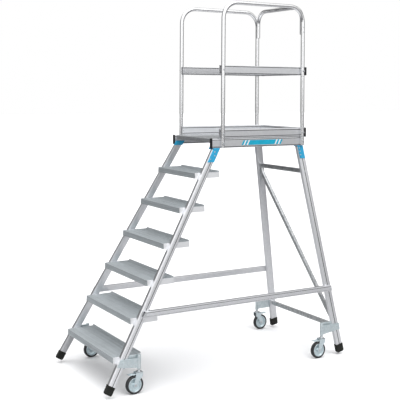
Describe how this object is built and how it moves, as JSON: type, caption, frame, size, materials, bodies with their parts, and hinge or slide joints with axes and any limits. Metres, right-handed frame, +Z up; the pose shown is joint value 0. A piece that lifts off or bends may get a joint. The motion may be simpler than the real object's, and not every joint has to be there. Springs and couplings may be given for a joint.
{
  "type": "mobile ladder stand",
  "caption": "Wheeled aluminium ladder stand: deep treads rise to a platform with guard rails and toe boards, on sprung swivel casters and rubber feet.",
  "frame": {"origin": "middle of the footprint, on the floor under the wheels", "axes": "+X from the climbing side to the rear, +Y to the climber's left, +Z up"},
  "size_m": [2.0439, 0.926, 2.726],
  "materials": {
    "aluminium": "satin extruded",
    "tread": "ribbed extruded",
    "zinc": "zinc plated pressed steel",
    "rim": "zinc plated pressed steel",
    "blue_moulding": "moulded, lightly textured",
    "rubber": "matt",
    "tyre": "solid rubber"
  },
  "bodies": {
    "frame": {"stile_left": "aluminium", "rear_leg_left": "aluminium", "foot_front_left": "rubber", "corner_bracket_front_left": "blue_moulding", "foot_rear_left": "rubber", "corner_bracket_rear_left": "blue_moulding", "side_brace_left": "aluminium", "platform_beam_left": "aluminium", "mid_rail_left": "aluminium", "toe_board_left": "aluminium", "guard_frame_left": "aluminium", "stile_right": "aluminium", "rear_leg_right": "aluminium", "foot_front_right": "rubber", "corner_bracket_front_right": "blue_moulding", "foot_rear_right": "rubber", "corner_bracket_rear_right": "blue_moulding", "side_brace_right": "aluminium", "platform_beam_right": "aluminium", "mid_rail_right": "aluminium", "toe_board_right": "aluminium", "guard_frame_right": "aluminium", "tread_1": "tread", "tread_2": "tread", "tread_3": "tread", "tread_4": "tread", "tread_5": "tread", "tread_6": "tread", "mid_rail_rear": "aluminium", "toe_board_rear": "aluminium", "platform_deck": "aluminium", "top_rail_rear": "aluminium", "rear_brace_upper": "aluminium", "rear_brace_lower": "aluminium", "rear_brace_diagonal": "aluminium", "caster_front_left_bracket": "zinc", "caster_front_right_bracket": "zinc", "caster_rear_left_bracket": "zinc", "caster_rear_right_bracket": "zinc"},
    "caster_front_left_stem": {"caster_front_left_stem": "zinc"},
    "caster_front_left_fork": {"caster_front_left_fork": "zinc"},
    "caster_front_left_brake_pedal": {"caster_front_left_brake_pedal": "zinc"},
    "caster_front_left_wheel": {"caster_front_left_rim": "rim", "caster_front_left_tyre": "tyre"},
    "caster_front_right_stem": {"caster_front_right_stem": "zinc"},
    "caster_front_right_fork": {"caster_front_right_fork": "zinc"},
    "caster_front_right_brake_pedal": {"caster_front_right_brake_pedal": "zinc"},
    "caster_front_right_wheel": {"caster_front_right_rim": "rim", "caster_front_right_tyre": "tyre"},
    "caster_rear_left_stem": {"caster_rear_left_stem": "zinc"},
    "caster_rear_left_fork": {"caster_rear_left_fork": "zinc"},
    "caster_rear_left_brake_pedal": {"caster_rear_left_brake_pedal": "zinc"},
    "caster_rear_left_wheel": {"caster_rear_left_rim": "rim", "caster_rear_left_tyre": "tyre"},
    "caster_rear_right_stem": {"caster_rear_right_stem": "zinc"},
    "caster_rear_right_fork": {"caster_rear_right_fork": "zinc"},
    "caster_rear_right_brake_pedal": {"caster_rear_right_brake_pedal": "zinc"},
    "caster_rear_right_wheel": {"caster_rear_right_rim": "rim", "caster_rear_right_tyre": "tyre"}
  },
  "joints": [
    {"name": "caster_front_left_spring_travel", "type": "slide", "parent": "frame", "child": "caster_front_left_stem", "axis": [0, 0, 1], "range_m": [0, 0.013], "stiffness_N_per_m": 8000, "springref_m": -0.02},
    {"name": "caster_front_left_swivel", "type": "hinge", "parent": "caster_front_left_stem", "child": "caster_front_left_fork", "pos_m": [-0.764, 0.44, 0.147], "axis": [0, 0, 1], "continuous": true},
    {"name": "caster_front_left_wheel_spin", "type": "hinge", "parent": "caster_front_left_fork", "child": "caster_front_left_wheel", "pos_m": [-0.73, 0.44, 0.0625], "axis": [0, 1, 0], "continuous": true},
    {"name": "caster_front_left_brake", "type": "hinge", "parent": "caster_front_left_fork", "child": "caster_front_left_brake_pedal", "pos_m": [-0.74, 0.44, 0.1345], "axis": [0, 1, 0], "range_deg": [0, 15]},
    {"name": "caster_front_right_spring_travel", "type": "slide", "parent": "frame", "child": "caster_front_right_stem", "axis": [0, 0, 1], "range_m": [0, 0.013], "stiffness_N_per_m": 8000, "springref_m": -0.02},
    {"name": "caster_front_right_swivel", "type": "hinge", "parent": "caster_front_right_stem", "child": "caster_front_right_fork", "pos_m": [-0.764, -0.44, 0.147], "axis": [0, 0, 1], "continuous": true},
    {"name": "caster_front_right_wheel_spin", "type": "hinge", "parent": "caster_front_right_fork", "child": "caster_front_right_wheel", "pos_m": [-0.798, -0.44, 0.0625], "axis": [0, 1, 0], "continuous": true},
    {"name": "caster_front_right_brake", "type": "hinge", "parent": "caster_front_right_fork", "child": "caster_front_right_brake_pedal", "pos_m": [-0.788, -0.44, 0.1345], "axis": [0, -1, 0], "range_deg": [0, 15]},
    {"name": "caster_rear_left_spring_travel", "type": "slide", "parent": "frame", "child": "caster_rear_left_stem", "axis": [0, 0, 1], "range_m": [0, 0.013], "stiffness_N_per_m": 8000, "springref_m": -0.02},
    {"name": "caster_rear_left_swivel", "type": "hinge", "parent": "caster_rear_left_stem", "child": "caster_rear_left_fork", "pos_m": [0.808, 0.44, 0.147], "axis": [0, 0, 1], "continuous": true},
    {"name": "caster_rear_left_wheel_spin", "type": "hinge", "parent": "caster_rear_left_fork", "child": "caster_rear_left_wheel", "pos_m": [0.842, 0.44, 0.0625], "axis": [0, 1, 0], "continuous": true},
    {"name": "caster_rear_left_brake", "type": "hinge", "parent": "caster_rear_left_fork", "child": "caster_rear_left_brake_pedal", "pos_m": [0.832, 0.44, 0.1345], "axis": [0, 1, 0], "range_deg": [0, 15]},
    {"name": "caster_rear_right_spring_travel", "type": "slide", "parent": "frame", "child": "caster_rear_right_stem", "axis": [0, 0, 1], "range_m": [0, 0.013], "stiffness_N_per_m": 8000, "springref_m": -0.02},
    {"name": "caster_rear_right_swivel", "type": "hinge", "parent": "caster_rear_right_stem", "child": "caster_rear_right_fork", "pos_m": [0.808, -0.44, 0.147], "axis": [0, 0, 1], "continuous": true},
    {"name": "caster_rear_right_wheel_spin", "type": "hinge", "parent": "caster_rear_right_fork", "child": "caster_rear_right_wheel", "pos_m": [0.774, -0.44, 0.0625], "axis": [0, 1, 0], "continuous": true},
    {"name": "caster_rear_right_brake", "type": "hinge", "parent": "caster_rear_right_fork", "child": "caster_rear_right_brake_pedal", "pos_m": [0.784, -0.44, 0.1345], "axis": [0, -1, 0], "range_deg": [0, 15]}
  ]
}
